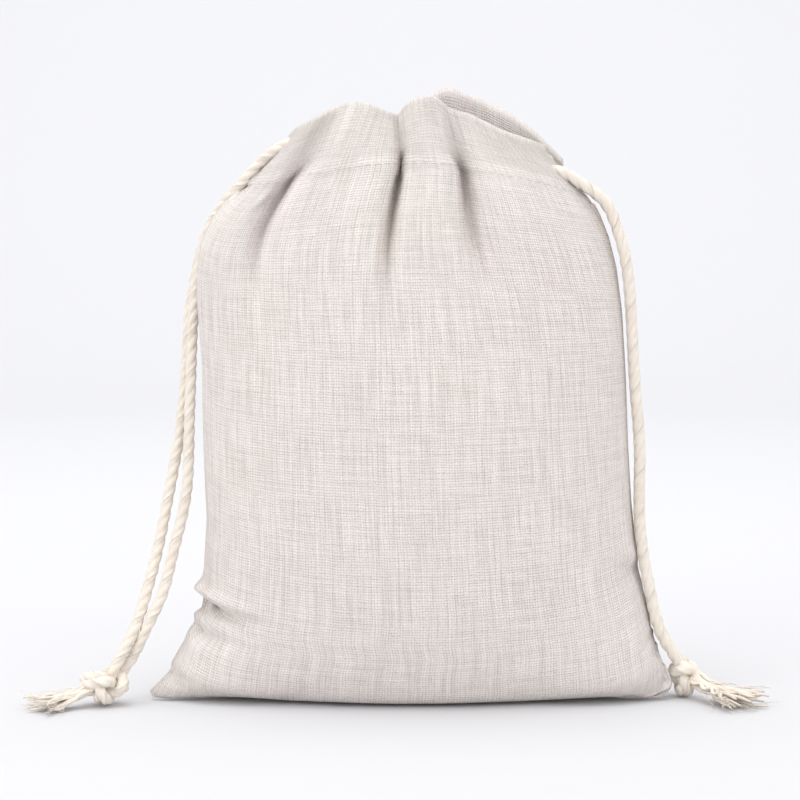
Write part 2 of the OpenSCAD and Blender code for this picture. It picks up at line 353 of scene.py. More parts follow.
def cord_strand(name, route):
    """A length of cord along its route, given in metres."""
    path, run = smooth_curve(route, cord_ring_step)
    towards_back = np.array([0.0, 1.0, 0.0])
    points, uv = rope_surface(path, run, cord_diameter / 2, cord_lay, cord_ring_points, towards_back)
    return capped_tube(name, points, uv, cotton), path, run[-1]


# Each route starts inside the casing, leaves the slit at its second point, lies
# over the shoulder at its fifth and ends in the knot
left_front_strand_points = [
    (-0.0285, -0.0062, 0.1687), (-0.0382, -0.0064, 0.1656), (-0.0440, -0.0035, 0.1615),
    (-0.0510, 0.0000, 0.1540), (-0.0570, 0.0040, 0.1475), (-0.0615, 0.0070, 0.1390),
    (-0.0640, 0.0070, 0.1280), (-0.0655, 0.0050, 0.1150), (-0.0660, 0.0020, 0.1000),
    (-0.0665, -0.0010, 0.0800), (-0.0675, -0.0030, 0.0610), (-0.0715, -0.0060, 0.0430),
    (-0.0740, -0.0085, 0.0330), (-0.0790, -0.0110, 0.0220), (-0.0852, -0.0120, 0.0106),
    (-0.0885, -0.0140, 0.0070),
]
left_back_strand_points = [
    (-0.0285, 0.0062, 0.1687), (-0.0382, 0.0067, 0.1656), (-0.0440, 0.0055, 0.1615),
    (-0.0510, 0.0065, 0.1540), (-0.0570, 0.0085, 0.1475), (-0.0620, 0.0110, 0.1390),
    (-0.0650, 0.0115, 0.1280), (-0.0670, 0.0095, 0.1150), (-0.0678, 0.0065, 0.1000),
    (-0.0697, 0.0035, 0.0800), (-0.0730, 0.0005, 0.0610), (-0.0765, -0.0035, 0.0430),
    (-0.0790, -0.0070, 0.0330), (-0.0825, -0.0115, 0.0220), (-0.0875, -0.0148, 0.0119),
    (-0.0895, -0.0150, 0.0075),
]
right_front_strand_points = [
    (0.0285, -0.0066, 0.1626), (0.0382, -0.0067, 0.1593), (0.0440, -0.0055, 0.1585),
    (0.0515, -0.0045, 0.1545), (0.0580, -0.0040, 0.1495), (0.0615, -0.0040, 0.1420),
    (0.0638, -0.0040, 0.1340), (0.0655, -0.0040, 0.1220), (0.0665, -0.0040, 0.1070),
    (0.0675, -0.0040, 0.0920), (0.0688, -0.0040, 0.0760), (0.0688, -0.0045, 0.0580),
    (0.0700, -0.0050, 0.0440), (0.0725, -0.0055, 0.0310), (0.0760, -0.0055, 0.0190),
    (0.0804, -0.0046, 0.0120), (0.0822, -0.0034, 0.0085),
]
right_back_strand_points = [
    (0.0285, 0.0066, 0.1626), (0.0382, 0.0056, 0.1593), (0.0440, 0.0030, 0.1585), (0.0515, 0.0005, 0.1545),
    (0.0580, 0.0000, 0.1495), (0.0618, 0.0000, 0.1420), (0.0643, 0.0000, 0.1340), (0.0660, 0.0000, 0.1220),
    (0.0670, 0.0000, 0.1070), (0.0680, 0.0000, 0.0920), (0.0693, 0.0000, 0.0760), (0.0693, -0.0005, 0.0580),
    (0.0705, -0.0010, 0.0440), (0.0730, -0.0015, 0.0310), (0.0765, -0.0015, 0.0190),
    (0.0808, -0.0010, 0.0122), (0.0826, -0.0026, 0.0085),
]
strand_routes = {
    "left_front": left_front_strand_points,
    "left_back": left_back_strand_points,
    "right_front": right_front_strand_points,
    "right_back": right_back_strand_points,
}

# ---------------------------------------------------------------------------
# The end knots. Both strands of a cord are tied together in one overhand knot,
# so the cord passes over and under itself in three tight lobes.
# ---------------------------------------------------------------------------

knot_place = {"left": np.array([-0.0910, -0.0150, 0.0060]), "right": np.array([0.0830, -0.0030, 0.0065])}
tassel_heading = {"left": math.radians(207.0), "right": math.radians(-50.0)}
pieces_on = {"left": [], "right": []}


def overhand_knot(name, place, half_size, heading, cord_radius, start, lane):
    """One strand of a trefoil, (sin t + 2 sin 2t, cos t - 2 cos 2t, -sin 3t), beside its twin by a lane."""
    t = start + np.linspace(0.0, 2 * np.pi * 0.985, 420)
    thick = 1.25
    across, up = np.sin(t) + 2 * np.sin(2 * t), np.cos(t) - 2 * np.cos(2 * t)
    curve = np.stack([across, -np.sin(3 * t) * thick, up], -1)
    room = np.array(half_size) - cord_radius - abs(lane) * 0.6
    curve *= room / np.array([2.7, thick, 2.7])
    tangent = unit(np.gradient(curve, axis=0))
    beside = unit(np.cross(tangent, unit(curve * np.array([1.0, 0.3, 1.0]) + 1e-6)))
    curve = curve + beside * lane
    c, s = math.cos(heading), math.sin(heading)
    turned = np.stack([curve[:, 0] * c - curve[:, 1] * s, curve[:, 0] * s + curve[:, 1] * c, curve[:, 2]], -1)
    path = turned + place
    outward = unit(turned + np.array([0.0, 0.0, 1e-5]))
    points, uv = rope_surface(path, arc_length(path), cord_radius, cord_lay * 0.8, 20, outward)
    return capped_tube(name, points, uv, cotton)


# Half size, heading, cord radius, start angle and lane of each side's knot
for side, half_size, heading, cord_radius, start, lane in (
    ("left", (0.0076, 0.0058, 0.0058), tassel_heading["left"], 0.0018, 0.6, 0.0012),
    ("right", (0.0050, 0.0050, 0.0063), 0.4, 0.0017, 1.9, 0.0010),
):
    for kind, lane_side in (("_overhand_knot", 1), ("_knot_twin", -1)):
        knot = overhand_knot(side + kind, knot_place[side], half_size, heading, cord_radius, start,
                             lane_side * lane)
        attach(knot, side + "_drop")
        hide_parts(side + "_knot")
        pieces_on[side].append(knot)

# ---------------------------------------------------------------------------
# The tassels. Past each knot the cord ends are untwisted into loose yarns that
# keep the wave of the lay and lie in a fan on the table.
# ---------------------------------------------------------------------------


def yarn_bundle(name, place, heading, spread, length, root, count, seed, yarn_radius, sides, pile):
    """Wavy yarns from the knot: each fans out by its own angle, falls to the table and ripples sideways."""
    rng = np.random.default_rng(seed)
    rings = 40
    u = np.linspace(0.0, 1.0, rings)[None, :]
    even = (np.arange(count)[:, None] + 0.5) / count * 2 - 1
    fan = np.clip(even + rng.normal(0.0, 0.12, (count, 1)), -1.0, 1.0) * spread
    reach = length * (0.72 + 0.28 * rng.random((count, 1)))
    start_side = rng.normal(0.0, 0.0010, (count, 1))
    start_up = rng.normal(0.0, 0.0009, (count, 1))
    wave = rng.uniform(0.0060, 0.0110, (count, 1))
    phase = rng.uniform(0.0, 2 * np.pi, (count, 1))
    amplitude = rng.uniform(0.0001, 0.0006, (count, 1)) * np.minimum(1.0, 3 * u)
    curl = rng.normal(0.0, 0.22, (count, 1)) * u**2
    along = root + reach * u
    ripple = amplitude * np.sin(2 * np.pi * along / wave + phase)
    angle = heading + fan * u**0.8 + curl * 0.6
    side = start_side * (1 - 0.2 * u) + ripple
    x = place[0] + along * np.cos(angle) - side * np.sin(angle)
    y = place[1] + along * np.sin(angle) + side * np.cos(angle)
    lowest = yarn_radius + 0.0002
    rest = lowest + rng.random((count, 1)) ** 1.3 * pile
    top = place[2] - 0.0006 + start_up
    settle = u**1.3 * (3 - 2 * u**1.3) * u**0.2
    z = top + (rest - top) * np.clip(settle, 0.0, 1.0)
    z = z + amplitude * 0.7 * np.cos(2 * np.pi * along / wave + phase * 1.7)
    path = np.stack([x, y, np.maximum(z, lowest)], -1)
    tangent = unit(np.gradient(path, axis=1))
    across = unit(np.cross(tangent, np.array([0.0, 0.0, 1.0])))
    up = np.cross(across, tangent)
    ring = np.linspace(0.0, 2 * np.pi, sides, endpoint=False)
    thin = yarn_radius * (0.7 + 0.5 * rng.random((count, 1, 1))) * (1 - 0.6 * u[..., None] ** 2.5)
    outward = np.cos(ring)[:, None] * across[:, :, None] + np.sin(ring)[:, None] * up[:, :, None]
    body = path[:, :, None] + thin[..., None] * outward
    quads = grid_faces(rings, sides, wrap=True)[:, ::-1]
    offset = (np.arange(count) * rings * sides)[:, None, None]
    walls = (quads[None] + offset).reshape(-1, 4)
    first = np.arange(sides)[None] + offset[:, 0]
    last = np.arange(sides)[::-1][None] + (rings - 1) * sides + offset[:, 0]
    obj = mesh_object(name, body.reshape(-1, 3), walls.tolist() + first.tolist() + last.tolist())
    lane = np.arange(count)[:, None, None] * 0.002 + ring * yarn_radius
    set_uv(obj, np.stack(np.broadcast_arrays(along[..., None], lane), -1).reshape(-1, 2))
    obj.data.materials.append(cotton)
    return obj


# Thick yarns, then single fibres: spread, length, root, count, seed, radius, sides and pile
for side, kind, spread, length, root, count, seed, yarn_radius, sides, pile in (
    ("left", "_frayed_tassel", 0.30, 0.0205, 0.0040, 24, 5, 0.00074, 8, 0.0034),
    ("right", "_frayed_tassel", 0.30, 0.0265, 0.0030, 26, 8, 0.00078, 8, 0.0040),
    ("left", "_tassel_wisps", 0.40, 0.0215, 0.0040, 20, 11, 0.00016, 5, 0.0050),
    ("right", "_tassel_wisps", 0.44, 0.0275, 0.0030, 22, 12, 0.00016, 5, 0.0056),
):
    tassel = yarn_bundle(side + kind, knot_place[side], tassel_heading[side], spread, length, root, count,
                         seed, yarn_radius, sides, pile)
    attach(tassel, side + "_end")
    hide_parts(side + "_tassel")
    pieces_on[side].append(tassel)

# Each strand is built along its route and its transform is baked into its points.
for name, route in strand_routes.items():
    side, face = name.split("_")
    strand, path, length = cord_strand(name + "_strand", route)
    node = f"{side}_cord_{face}"
    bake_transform(strand)
    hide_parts(node + "_top", node + "_drop")

# ---------------------------------------------------------------------------
# The cloth. Two panels of plain-woven cotton and linen are sewn together at the
# sides and the base and filled, and each top edge is turned down into a casing
# that the cords gather into deep pleats.
# ---------------------------------------------------------------------------

cut_width = 0.155
casing_height = 0.020
cloth_step = 0.0025
columns_per_panel = 62
body_rows = 81
neck_row = 72
cloth_thickness = 0.0007

# Side seams: half width and height, up to the slits the cords leave by
left_edge = np.array([
    (77.4, 1.0), (78.6, 2.4), (73.2, 9.0), (68.8, 18.0), (67.2, 23.0), (64.0, 29.0), (65.0, 33.0),
    (63.2, 38.0), (62.0, 55.0), (62.4, 66.0), (62.8, 80.0), (63.0, 102.0), (64.2, 121.0), (63.9, 130.0),
    (62.6, 138.0), (59.4, 144.5), (55.0, 150.0), (49.0, 154.0),
]) * 0.001
right_edge = np.array([
    (77.0, 0.8), (79.4, 3.8), (76.6, 13.0), (74.0, 22.0), (71.4, 34.0), (69.2, 46.0), (67.5, 60.0),
    (66.3, 76.0), (65.2, 97.0), (63.8, 117.0), (62.0, 130.0), (59.6, 139.0), (57.2, 145.0), (53.4, 150.5),
]) * 0.001
# Middle of each panel: depth and height
belly = np.array([
    (0.0, 0.2), (13.0, 0.9), (18.8, 1.2), (20.8, 2.6), (22.7, 6.8), (24.8, 12.0), (27.0, 20.0), (28.4, 30.0),
    (29.3, 45.0), (29.6, 60.0), (29.4, 80.0), (28.4, 100.0), (26.4, 120.0), (23.8, 135.0), (21.0, 147.0),
    (17.5, 158.0),
]) * 0.001

# Three level lines of each gathered rim, from the left seam to the right one:
# share of the cut width, then x, y and height in millimetres. The neck is where
# the casing is stitched down, the waist is beside the lower cord, and the rim
# is the fold at the top. A deep pleat lies left of the middle of the front.
front_neck = np.array([
    (0.00, -49.0, 0.0, 154.0), (0.06, -47.0, -7.5, 153.0), (0.13, -42.0, -12.0, 153.2),
    (0.165, -38.5, -10.5, 154.0), (0.19, -36.2, -4.0, 154.8), (0.22, -33.4, -12.8, 155.2),
    (0.27, -27.0, -16.0, 156.2), (0.36, -15.8, -17.2, 158.0), (0.42, -6.4, -16.2, 159.0),
    (0.442, -3.7, -12.5, 159.0), (0.458, -2.8, 3.0, 159.0), (0.474, -1.9, -12.5, 159.0),
    (0.50, 0.4, -16.2, 159.0), (0.54, 4.0, -17.4, 159.0), (0.61, 11.6, -16.8, 158.6),
    (0.655, 15.6, -4.0, 158.0), (0.70, 19.6, -15.2, 157.0), (0.79, 31.0, -15.0, 155.2),
    (0.88, 41.4, -11.6, 153.0), (0.95, 49.0, -6.5, 151.2), (1.00, 53.4, 0.0, 150.5),
])
front_waist = np.array([
    (0.00, -44.8, -3.5, 158.3), (0.07, -42.6, -8.6, 158.6), (0.13, -38.0, -11.6, 159.2),
    (0.17, -34.0, -11.0, 160.0), (0.20, -30.8, -9.2, 160.8), (0.24, -26.6, -13.0, 161.4),
    (0.29, -22.0, -15.2, 162.4), (0.36, -14.6, -15.6, 163.6), (0.42, -6.6, -14.4, 164.2),
    (0.445, -3.5, -11.6, 164.2), (0.458, -2.5, -8.9, 164.2), (0.471, -1.5, -11.6, 164.2),
    (0.50, 0.4, -14.6, 164.4), (0.55, 4.0, -15.8, 164.6), (0.61, 9.8, -14.6, 164.2),
    (0.655, 13.4, -9.2, 163.4), (0.70, 17.4, -13.0, 162.4), (0.79, 28.0, -12.8, 160.2),
    (0.88, 38.4, -10.6, 157.8), (0.95, 45.2, -7.0, 155.8), (1.00, 48.2, -3.5, 154.8),
])
front_top = np.array([
    (0.00, -36.0, -6.5, 167.4), (0.07, -33.5, -9.2, 169.8), (0.13, -30.0, -10.8, 171.7),
    (0.19, -25.5, -11.0, 174.2), (0.235, -21.0, -8.5, 176.2), (0.28, -17.0, -11.4, 177.0),
    (0.34, -11.6, -11.8, 176.6), (0.39, -7.4, -10.6, 174.8), (0.435, -4.8, -9.6, 173.9),
    (0.453, -3.7, -8.3, 173.6), (0.470, -2.7, -9.8, 174.8), (0.50, -0.8, -11.0, 177.0),
    (0.54, 2.4, -12.0, 178.4), (0.60, 7.0, -12.0, 178.8), (0.65, 10.4, -9.6, 176.4),
    (0.685, 12.8, -8.4, 175.0), (0.73, 16.4, -10.2, 174.0), (0.83, 25.5, -10.2, 169.8),
    (0.92, 33.8, -9.2, 166.8), (1.00, 40.2, -6.5, 164.6),
])
back_neck = np.array([
    (0.00, -49.0, 0.0, 154.0), (0.07, -47.0, 8.5, 153.0), (0.16, -40.5, 14.5, 153.0),
    (0.23, -33.5, 9.5, 155.0), (0.31, -24.5, 17.0, 156.5), (0.40, -12.5, 18.0, 158.5),
    (0.46, -6.0, 9.0, 159.0), (0.53, 1.0, 17.0, 159.5), (0.61, 10.0, 17.5, 160.0), (0.68, 17.0, 10.0, 159.5),
    (0.76, 26.0, 17.0, 158.0), (0.85, 38.0, 14.5, 154.5), (0.93, 48.0, 8.5, 151.6), (1.00, 53.4, 0.0, 150.5),
])
back_waist = np.array([
    (0.00, -44.5, 4.0, 158.0), (0.08, -42.0, 9.5, 158.5), (0.16, -36.0, 11.8, 159.5),
    (0.23, -29.5, 9.4, 161.0), (0.31, -21.5, 13.2, 162.4), (0.40, -11.5, 13.8, 164.0),
    (0.46, -5.5, 9.4, 164.2), (0.53, 0.5, 13.0, 165.0), (0.61, 8.5, 13.8, 166.4), (0.68, 15.0, 9.4, 166.0),
    (0.76, 23.5, 12.8, 164.2), (0.85, 34.8, 11.6, 160.0), (0.93, 44.4, 8.5, 156.0), (1.00, 49.6, 4.0, 153.6),
])
back_top = np.array([
    (0.00, -36.0, 6.5, 167.0), (0.08, -33.0, 8.6, 169.6), (0.16, -27.5, 9.6, 172.0),
    (0.23, -21.5, 8.4, 173.6), (0.30, -15.5, 9.8, 175.0), (0.38, -8.5, 9.8, 174.6), (0.45, -2.5, 8.4, 173.8),
    (0.52, 3.0, 10.0, 177.2), (0.57, 7.2, 10.4, 180.4), (0.61, 10.6, 10.4, 182.0), (0.67, 15.8, 8.6, 180.6),
    (0.74, 21.8, 10.0, 178.4), (0.83, 31.0, 10.0, 173.8), (0.92, 39.6, 8.6, 167.2), (1.00, 46.0, 5.5, 160.6),
])


def level_line(line, share):
    """A smooth curve through a level line's points, read at shares of the cut width, in metres."""
    points = line[:, 1:] * 0.001
    path, run = smooth_curve(points, 0.0002)
    marks = arc_length(points)
    return read_line(np.interp(share, line[:, 0], marks / marks[-1]) * run[-1], run, path)


def smooth_step(x):
    """0 below 0, 1 above 1, and 3x^2 - 2x^3 between."""
    x = np.clip(x, 0.0, 1.0)
    return x * x * (3 - 2 * x)


def along_edge(edge, share):
    """Half width (or depth) and height at shares of an edge's own length."""
    run = arc_length(edge)
    return np.interp(share * run[-1], run, edge[:, 0]), np.interp(share * run[-1], run, edge[:, 1])


def soften(row, width):
    """A row of points averaged with its neighbours over a bell of the given width, its ends kept."""
    reach = np.arange(-3 * width, 3 * width + 1)
    bell = np.exp(-0.5 * (reach / width) ** 2)
    before, after = 2 * row[:1] - row[3 * width:0:-1], 2 * row[-1:] - row[-2:-3 * width - 2:-1]
    padded = np.concatenate([before, row, after])
    return np.stack([np.convolve(padded[:, k], bell / bell.sum(), "valid") for k in range(3)], -1)


def guided_panel(front):
    """The panel before it settles: oval level sections up the belly, turning into the pleated rim."""
    sign = -1.0 if front else 1.0
    share = np.linspace(0.0, 1.0, columns_per_panel + 1)
    up_cloth = np.arange(body_rows) * cloth_step
    neck_at = neck_row * cloth_step
    scaled = np.minimum(up_cloth / neck_at, 1.0)
    left_width, left_z = along_edge(left_edge, scaled)
    right_width, right_z = along_edge(right_edge, scaled)
    depth, middle_z = along_edge(belly, scaled)
    turn = np.linspace(0.0, np.pi, 240)[None, :]
    to_right = 0.5 - 0.5 * np.cos(turn)
    width = left_width[:, None] + (right_width - left_width)[:, None] * to_right
    side_z = left_z[:, None] + (right_z - left_z)[:, None] * to_right
    low = np.maximum(0.0, 1 - side_z / 0.030)
    pointed = 1.0 - 0.22 * low
    x = -width * np.cos(turn)
    y = sign * depth[:, None] * np.sin(turn) ** pointed
    z = side_z + (middle_z[:, None] - side_z) * np.sin(turn) ** (0.8 - 0.35 * low)
    # Both lower corners are drawn a little towards the front
    y = y - 0.0080 * np.maximum(0.0, 1 - z / 0.035) * smooth_step((np.abs(x) - 0.030) / 0.045)
    dense = np.stack([x, y, z], -1)
    gaps = np.linalg.norm(np.diff(dense, axis=1), axis=2)
    run = np.concatenate([np.zeros((body_rows, 1)), np.cumsum(gaps, axis=1)], axis=1)
    plain = np.stack([read_line(share * r[-1], r, p) for r, p in zip(run, dense)])
    lines = (front_neck, front_waist, front_top) if front else (back_neck, back_waist, back_top)
    neck, waist, top = (level_line(line, share) for line in lines)
    soft_neck = soften(neck, 5)
    # The section starts to narrow at 125 mm up the cloth and the pleats start at 122 mm
    shape = smooth_step((up_cloth - 0.125) / (neck_at - 0.125))[:, None, None]
    fold = (smooth_step((up_cloth - 0.122) / (neck_at - 0.122)) ** 1.25)[:, None, None]
    gathered = plain + (soft_neck - plain[neck_row]) * shape + (neck - soft_neck) * fold
    above = np.clip((up_cloth - neck_at) / casing_height, 0.0, 1.0)[:, None, None]
    waist_at = 0.32
    lower = neck + (waist - neck) * smooth_step(above / waist_at)
    upper = waist + (top - waist) * (above - waist_at) / (1 - waist_at)
    casing = np.where(above < waist_at, lower, upper)
    return np.where(np.arange(body_rows)[:, None, None] < neck_row, gathered, casing)


def settle_bag(front, back_panel):
    """Both panels as one welded bag, relaxed by a cloth simulation towards the size it was cut to."""
    back = back_panel[:, ::-1]
    loop = np.concatenate([front[:, :-1], back[:, :-1]], axis=1)[: neck_row + 1]
    rows, around = loop.shape[:2]
    there_and_back = np.concatenate([np.arange(columns_per_panel), np.arange(columns_per_panel, 0, -1)])
    share = there_and_back / columns_per_panel
    # The gathers take up the rest of the cut width, so each row rests at the length it is drawn to
    closed = np.concatenate([loop, loop[:, :1]], axis=1)
    drawn = np.linalg.norm(np.diff(closed, axis=1), axis=2).sum(1) / 2
    flat_x = (share - 0.5)[None, :] * np.minimum(drawn * 1.03, cut_width)[:, None]
    flat_y = np.repeat([-0.0002, 0.0002], columns_per_panel)
    flat_y[[0, columns_per_panel]] = 0.0
    flat = np.stack(np.broadcast_arrays(flat_x, flat_y, (np.arange(rows) * cloth_step)[:, None]), -1)
    faces = grid_faces(rows, around, wrap=True)
    # The base seam joins each point of the front's first row to the back's
    twin = np.arange(rows * around)
    back_row = np.arange(columns_per_panel + 1, around)
    twin[back_row] = around - back_row
    faces = twin[faces]
    used, packed = np.unique(faces, return_inverse=True)
    packed = packed.reshape(faces.shape)
    scale = 10.0
    bag = mesh_object("settling_bag", loop.reshape(-1, 3)[used] * scale, packed)
    bag.shape_key_add(name="Basis")
    cut = bag.shape_key_add(name="Cut")
    cut.data.foreach_set("co", (flat.reshape(-1, 3)[used] * scale).ravel())
    # The gathered neck is held fast, the folds below it firmly, the belly lightly and the base again firmly
    held = bag.vertex_groups.new(name="held")
    row_of = used // around
    for row in range(rows):
        grip = 1.0 if row >= neck_row else float(0.15 + 0.38 * smooth_step((row - 50) / 20))
        grip = max(grip, 0.5 - 0.06 * row)
        held.add([int(i) for i in np.flatnonzero(row_of == row)], grip, "REPLACE")
    cloth = bag.modifiers.new("Cloth", "CLOTH")
    settings = cloth.settings
    settings.quality = 8
    settings.mass = 0.25
    settings.tension_stiffness = 12.0
    settings.compression_stiffness = 12.0
    settings.shear_stiffness = 6.0
    settings.bending_stiffness = 0.35
    settings.air_damping = 3.0
    settings.vertex_group_mass = "held"
    settings.pin_stiffness = 1.0
    settings.rest_shape_key = cut
    settings.use_pressure = True
    settings.uniform_pressure_force = 0.5
    settings.effector_weights.gravity = 0.25
    cloth.collision_settings.use_collision = True
    cloth.collision_settings.distance_min = 0.004
    cloth.collision_settings.use_self_collision = True
    cloth.collision_settings.self_distance_min = 0.006
    board = mesh_object("board", [(-3, -3, 0), (3, -3, 0), (3, 3, 0), (-3, 3, 0)], [(0, 1, 2, 3)])
    board.modifiers.new("Collision", "COLLISION")
    board.collision.thickness_outer = 0.004
    frames = 30
    cloth.point_cache.frame_end = frames
    for number in range(1, frames + 1):
        scene.frame_set(number)
    settled = bag.evaluated_get(bpy.context.evaluated_depsgraph_get()).data
    result = np.empty(len(used) * 3)
    settled.vertices.foreach_get("co", result)
    scene.frame_set(1)
    bpy.data.objects.remove(bag)
    bpy.data.objects.remove(board)
    place = np.empty(rows * around, int)
    place[used] = np.arange(len(used))
    grid = (result.reshape(-1, 3) / scale)[place[twin]].reshape(rows, around, 3)
    back_order = np.concatenate([[0], np.arange(around - 1, columns_per_panel - 1, -1)])
    front_settled = np.concatenate([grid[:, : columns_per_panel + 1], front[neck_row + 1:]])
    back_settled = np.concatenate([grid[:, back_order], back_panel[neck_row + 1:]])
    return front_settled, back_settled


def refine(grid):
    """Twice the rows and columns: new points from a four-point curve, (-1, 9, 9, -1) / 16."""
    for axis in (0, 1):
        g = np.moveaxis(grid, axis, 0)
        padded = np.concatenate([[2 * g[0] - g[1]], g, [2 * g[-1] - g[-2]]])
        between = (9 * (padded[1:-2] + padded[2:-1]) - padded[:-3] - padded[3:]) / 16
        out = np.empty((2 * len(g) - 1, *g.shape[1:]))
        out[::2], out[1::2] = g, between
        grid = np.moveaxis(out, 0, axis)
    return grid


def weave_material():
    """Plain weave: threads of both directions pass over and under each other, with slubs, gaps and flecks,
    and painted shade in the grooves between threads and in the open gaps.
    """
    n = Nodes("cotton_linen_weave")
    u, v = n.uv()
    pitch = 0.00080
    drift = n.noise(n.vector(u, v), 210.0, 2.0)
    across = n.math("DIVIDE", n.math("ADD", u, n.math("MULTIPLY", drift, 0.0007)), pitch)
    along = n.math("DIVIDE", n.math("ADD", v, n.math("MULTIPLY", drift, 0.0009)), pitch)
    round_u = n.math("ABSOLUTE", n.math("SINE", n.math("MULTIPLY", across, math.pi)))
    round_v = n.math("ABSOLUTE", n.math("SINE", n.math("MULTIPLY", along, math.pi)))
    check = n.math("MODULO", n.math("ADD", n.math("FLOOR", across), n.math("FLOOR", along)), 2.0)
    check = n.math("ABSOLUTE", check)
    under = n.math("SUBTRACT", 1.0, check)
    warp = n.math("MULTIPLY", round_u, n.math("ADD", n.math("MULTIPLY", round_v, 0.5), 0.5))
    weft = n.math("MULTIPLY", round_v, n.math("ADD", n.math("MULTIPLY", round_u, 0.5), 0.5))
    over = n.math("ADD", n.math("MULTIPLY", warp, check), n.math("MULTIPLY", weft, under))
    # Each thread has its own thickness and tone, long along the thread and one pitch wide
    warp_place = n.vector(n.math("MULTIPLY", u, 1150.0), n.math("MULTIPLY", v, 48.0))
    warp_slub = n.noise(warp_place, 1.0, 2.0, 0.6)
    weft_place = n.vector(n.math("MULTIPLY", u, 60.0), n.math("MULTIPLY", v, 1150.0), 7.0)
    weft_slub = n.noise(weft_place, 1.0, 2.0, 0.6)
    slub = n.math("ADD", n.math("MULTIPLY", warp_slub, 0.62), n.math("MULTIPLY", weft_slub, 0.38))
    # Open corners between four threads; some of them are painted dark, as painted shade seen through the gap
    corner = n.math("MULTIPLY", n.math("SUBTRACT", 1.0, round_u), n.math("SUBTRACT", 1.0, round_v))
    chance = n.noise(n.vector(across, along, 3.0), 0.9, 1.0)
    shaded_gap = n.math("MULTIPLY", corner, n.math("GREATER_THAN", chance, 0.60))
    patch = n.noise(n.object_point(), 34.0, 3.0)
    base = n.ramp(slub, [(0.36, (0.63, 0.56, 0.53)), (0.50, (0.81, 0.745, 0.71)), (0.64, (0.95, 0.90, 0.88))])
    hues = [(0.35, (0.83, 0.745, 0.735)), (0.50, (0.82, 0.76, 0.73)), (0.66, (0.83, 0.78, 0.71))]
    hue = n.ramp(patch, hues)
    tone = n.mix(0.42, base, hue)
    # Painted shade: the colour darkens towards half in the low grooves between threads, by a share that
    # drifts across the cloth
    depth = n.math("ADD", n.math("MULTIPLY", drift, 0.7), 0.15)
    groove = n.ramp(over, [(0.0, (0.50, 0.46, 0.43)), (0.46, (1.0, 1.0, 1.0))])
    colour = n.mix(depth, tone, n.mix(1.0, tone, groove, "MULTIPLY"))
    # Painted shade: the open gaps take a dark colour
    colour = n.mix(n.math("MULTIPLY", shaded_gap, 0.75), colour, (0.42, 0.36, 0.33, 1.0))
    n.bump(n.math("ADD", over, slub), 0.00032, 0.8)
    return n.finish(colour, 0.92, 0.25)


weave = weave_material()


def casing_wall(grid, sign):
    """Rows that go on over the top fold, a half circle, and down inside, past the cords in the casing."""
    outer = grid[neck_row * 2 + 1:]
    above = np.linspace(0.0, 1.0, len(outer) + 1)[1:, None]
    # The cords' distance from the middle plane, and the room from their middle to the inner wall
    cords_at = 0.0066 - 0.0008 * above
    room = 0.0027
    foot_gap = 0.0012
    apart = np.abs(outer[..., 1]) - cords_at + room
    apart = foot_gap + (apart - foot_gap) * smooth_step(above / 0.30)
    inner = outer.copy()
    inner[..., 1] -= sign * apart
    inner[..., 2] -= 0.0006 * above
    roll = np.linspace(0.0, np.pi, 9)[1:-1, None]
    inward = -sign * apart[-1] / 2 * (1 - np.cos(roll))
    rise = 0.0019 * np.sin(roll) - 0.0003 * (1 - np.cos(roll))
    over = outer[-1] + np.stack(np.broadcast_arrays(0.0, inward, rise), -1)
    return np.concatenate([grid, over, inner[::-1]])


def panel_object(name, grid, front):
    """The finished panel: the refined grid, its cut coordinates, and a real thickness."""
    sign = -1.0 if front else 1.0
    full = casing_wall(grid, sign)
    full[..., 2] = np.maximum(full[..., 2], 0.0004)
    rows, columns = full.shape[:2]
    faces = grid_faces(rows, columns)
    if not front:
        faces = faces[:, ::-1]
    obj = mesh_object(name, full.reshape(-1, 3), faces)
    share = np.linspace(0.0, cut_width, columns)
    up_cloth = np.arange(rows) * cloth_step / 2
    set_uv(obj, np.stack(np.broadcast_arrays(share[None, :], up_cloth[:, None]), -1).reshape(-1, 2))
    wall = obj.modifiers.new("Thickness", "SOLIDIFY")
    wall.thickness = cloth_thickness
    wall.offset = -1.0
    wall.use_even_offset = False
    obj.data.materials.append(weave)
    return obj


front_grid, back_grid = settle_bag(guided_panel(True), guided_panel(False))
front_grid, back_grid = refine(front_grid), refine(back_grid)
# Creases pressed in at the lower corners: start x and z, slope, length, depth and width
for x0, z0, slope, length, depth, width in (
    (-0.0635, 0.0304, -0.36, 0.022, 0.0066, 0.0011),
    (-0.0665, 0.0240, -0.55, 0.015, 0.0036, 0.0010),
    (-0.0730, 0.0100, -0.75, 0.009, 0.0018, 0.0010),
    (0.0690, 0.0400, 0.25, -0.014, 0.0014, 0.0014),
):
    for grid, sign in ((front_grid, -1.0), (back_grid, 1.0)):
        normal = unit(np.cross(np.gradient(grid, axis=1), np.gradient(grid, axis=0))) * -sign
        t = np.clip((grid[..., 0] - x0) / length, 0.0, 1.0)
        off = grid[..., 2] - z0 - slope * t * abs(length) * (1 - 0.45 * t)
        fade = (1 - t) ** 1.2 * (grid[..., 0] * x0 > 0)
        groove = depth * fade * np.exp(-(np.where(off > 0, off / width, off / (3.2 * width)) ** 2))
        ridge = 0.40 * depth * fade * np.exp(-((off - 2.6 * width) / (1.6 * width)) ** 2)
        move = normal * (ridge - groove)[..., None]
        columns = np.arange(grid.shape[1])
        # The crease fades over six columns, so that the panels still meet at the seam
        from_seam = np.minimum(columns, columns[::-1]) / 6.0
        move[..., 1] *= np.minimum(from_seam, 1.0)
        move *= np.minimum(0.35 + from_seam, 1.0)[:, None]
        grid += move * (np.arange(len(grid)) > 3)[:, None, None]


